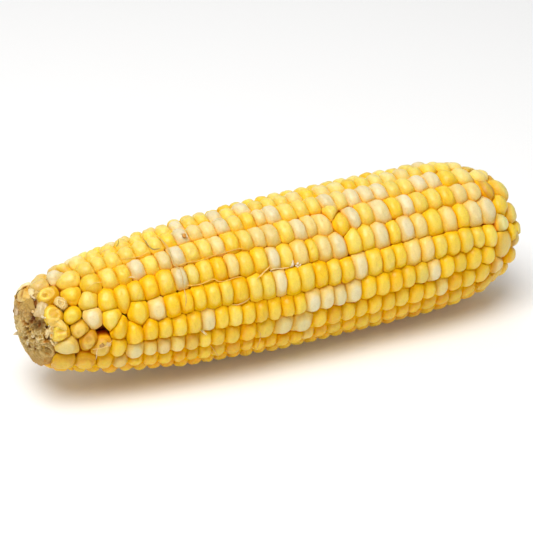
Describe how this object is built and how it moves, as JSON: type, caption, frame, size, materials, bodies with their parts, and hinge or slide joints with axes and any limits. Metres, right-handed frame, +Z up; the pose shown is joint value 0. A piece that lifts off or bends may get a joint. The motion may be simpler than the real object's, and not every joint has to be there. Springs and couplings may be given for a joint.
{
  "type": "corn cob",
  "caption": "Husked ear of bicolour sweet corn lying on its side, tip cut square, with rows of plump kernels round a bare-ended cob.",
  "frame": {"origin": "centre of the ear's bounding box in plan, on the surface that it lies on", "axes": "+X along the ear from the cut tip to the butt, +Z up from the surface, -Y towards the side that faces the viewer"},
  "size_m": [0.1702, 0.0503, 0.0502],
  "materials": {
    "kernels": "moist, semi-gloss kernel skin, golden yellow with scattered cream kernels",
    "cob": "dry, fibrous cut pith, pale tan"
  },
  "bodies": {
    "root": {"cob": "cob", "kernel_row_01": "kernels", "kernel_row_02": "kernels", "kernel_row_03": "kernels", "kernel_row_04": "kernels", "kernel_row_05": "kernels", "kernel_row_06": "kernels", "kernel_row_07": "kernels", "kernel_row_08": "kernels", "kernel_row_09": "kernels", "kernel_row_10": "kernels", "kernel_row_11": "kernels", "kernel_row_12": "kernels", "kernel_row_13": "kernels", "kernel_row_14": "kernels", "kernel_row_15": "kernels", "kernel_row_16": "kernels", "kernel_row_17": "kernels", "kernel_row_18": "kernels"}
  },
  "joints": []
}
